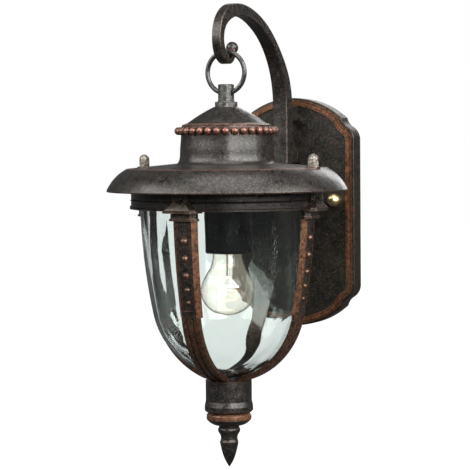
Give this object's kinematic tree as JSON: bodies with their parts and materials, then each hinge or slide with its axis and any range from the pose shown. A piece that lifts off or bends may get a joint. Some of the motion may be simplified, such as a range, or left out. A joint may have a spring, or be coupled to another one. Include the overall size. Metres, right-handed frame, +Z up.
{
  "type": "outdoor wall lantern",
  "caption": "Outdoor wall lantern: hammered glass bell in a strap cage under a beaded brimmed roof, hung by a ring from a scroll arm on an arched wall plate.",
  "frame": {"origin": "on the wall plane, midway between the two wall screws, at the centre of the mounting bar's back face", "axes": "+Z up, +Y into the wall, so the lantern hangs out towards -Y; +X to the right seen from in front of the lantern"},
  "size_m": [0.2032, 0.2461, 0.3934],
  "materials": {
    "bronze_cast": "weathered bronze paint over cast aluminium, satin, with rubbed copper edges",
    "bronze_steel": "weathered bronze paint over steel wire, satin",
    "zinc_steel": "zinc plated steel",
    "nut_bronze": "antiqued nickel-bronze, satin",
    "polished_brass": "lacquered brass, polished",
    "shield_aluminium": "mill finish",
    "rubber_black": "matt",
    "holder_black": "moulded thermoset, semi-gloss",
    "block_white": "moulded",
    "ceramic_white": "glazed",
    "nickel": "nickel plated",
    "solder": "tinned",
    "shade_glass": "clear hammered soda glass",
    "bulb_clear": "clear",
    "tungsten": "drawn wire"
  },
  "bodies": {
    "wall_mount": {"wall_plate": "bronze_cast", "wall_gasket": "rubber_black", "mounting_bar": "zinc_steel", "plate_studs": "zinc_steel", "earth_screw": "zinc_steel", "plate_grommet": "rubber_black", "supply_block": "block_white", "scroll_arm": "bronze_cast", "arm_screws": "zinc_steel", "arm_washers": "zinc_steel"},
    "plate_nut_left": {"plate_nut_left": "polished_brass"},
    "plate_nut_right": {"plate_nut_right": "polished_brass"},
    "ring": {"hanging_ring": "bronze_steel"},
    "lantern": {"hanger_lug": "bronze_cast", "roof_cap": "bronze_cast", "bead_ring": "bronze_cast", "roof_shell": "bronze_cast", "neck_bridge": "zinc_steel", "nipple_tube": "zinc_steel", "bridge_washer": "zinc_steel", "bridge_nut": "zinc_steel", "shield_nut": "zinc_steel", "heat_shield": "shield_aluminium", "shield_spacer": "zinc_steel", "terminal_block": "block_white", "roof_gland": "rubber_black", "inner_flex": "rubber_black", "core_leads": "rubber_black", "holder_cap": "holder_black", "holder_skirt": "holder_black", "screw_shell": "nickel", "holder_core": "ceramic_white", "centre_contact": "polished_brass", "roof_gasket": "rubber_black"},
    "cap_nut_left": {"cap_nut_left": "nut_bronze"},
    "cap_nut_right": {"cap_nut_right": "nut_bronze"},
    "bulb": {"bulb_glass": "bulb_clear", "bulb_cap": "nickel", "bulb_contact": "solder", "bulb_stem": "bulb_clear", "filament": "tungsten"},
    "cage": {"cage_ring": "bronze_cast", "cage_studs": "zinc_steel", "glass_seal": "rubber_black", "glass_shade": "shade_glass", "glass_clips": "zinc_steel", "clip_screws": "zinc_steel", "strap_front": "bronze_cast", "strap_right": "bronze_cast", "strap_back": "bronze_cast", "strap_left": "bronze_cast", "strap_screws": "zinc_steel", "bottom_cup": "bronze_cast", "foot_screws": "zinc_steel", "glass_pad": "rubber_black", "cup_cap": "bronze_cast", "finial_stud": "zinc_steel", "stud_nut": "zinc_steel"},
    "finial": {"finial": "bronze_cast"}
  },
  "joints": [
    {"name": "plate_nut_left_turn", "type": "hinge", "parent": "wall_mount", "child": "plate_nut_left", "pos_m": [-0.045, -0.02, 0], "axis": [0, 1, 0], "continuous": true},
    {"name": "plate_nut_right_turn", "type": "hinge", "parent": "wall_mount", "child": "plate_nut_right", "pos_m": [0.045, -0.02, 0], "axis": [0, 1, 0], "continuous": true},
    {"name": "ring_swing", "type": "hinge", "parent": "wall_mount", "child": "ring", "pos_m": [0, -0.1445, 0.1225], "axis": [0, 1, 0], "range_deg": [-30, 30]},
    {"name": "lantern_swing", "type": "hinge", "parent": "ring", "child": "lantern", "pos_m": [0, -0.1445, 0.0941], "axis": [1, 0, 0], "range_deg": [-20, 1.2]},
    {"name": "cap_nut_left_turn", "type": "hinge", "parent": "lantern", "child": "cap_nut_left", "pos_m": [-0.08, -0.1445, 0.035], "axis": [0, 0, 1], "continuous": true},
    {"name": "cap_nut_right_turn", "type": "hinge", "parent": "lantern", "child": "cap_nut_right", "pos_m": [0.08, -0.1445, 0.035], "axis": [0, 0, 1], "continuous": true},
    {"name": "bulb_turn", "type": "hinge", "parent": "lantern", "child": "bulb", "pos_m": [0, -0.1445, -0.02], "axis": [0, 0, 1], "continuous": true},
    {"name": "cage_drop", "type": "slide", "parent": "lantern", "child": "cage", "axis": [0, 0, -1], "range_m": [0, 0.11]},
    {"name": "finial_turn", "type": "hinge", "parent": "cage", "child": "finial", "pos_m": [0, -0.1445, -0.19], "axis": [0, 0, 1], "continuous": true}
  ]
}
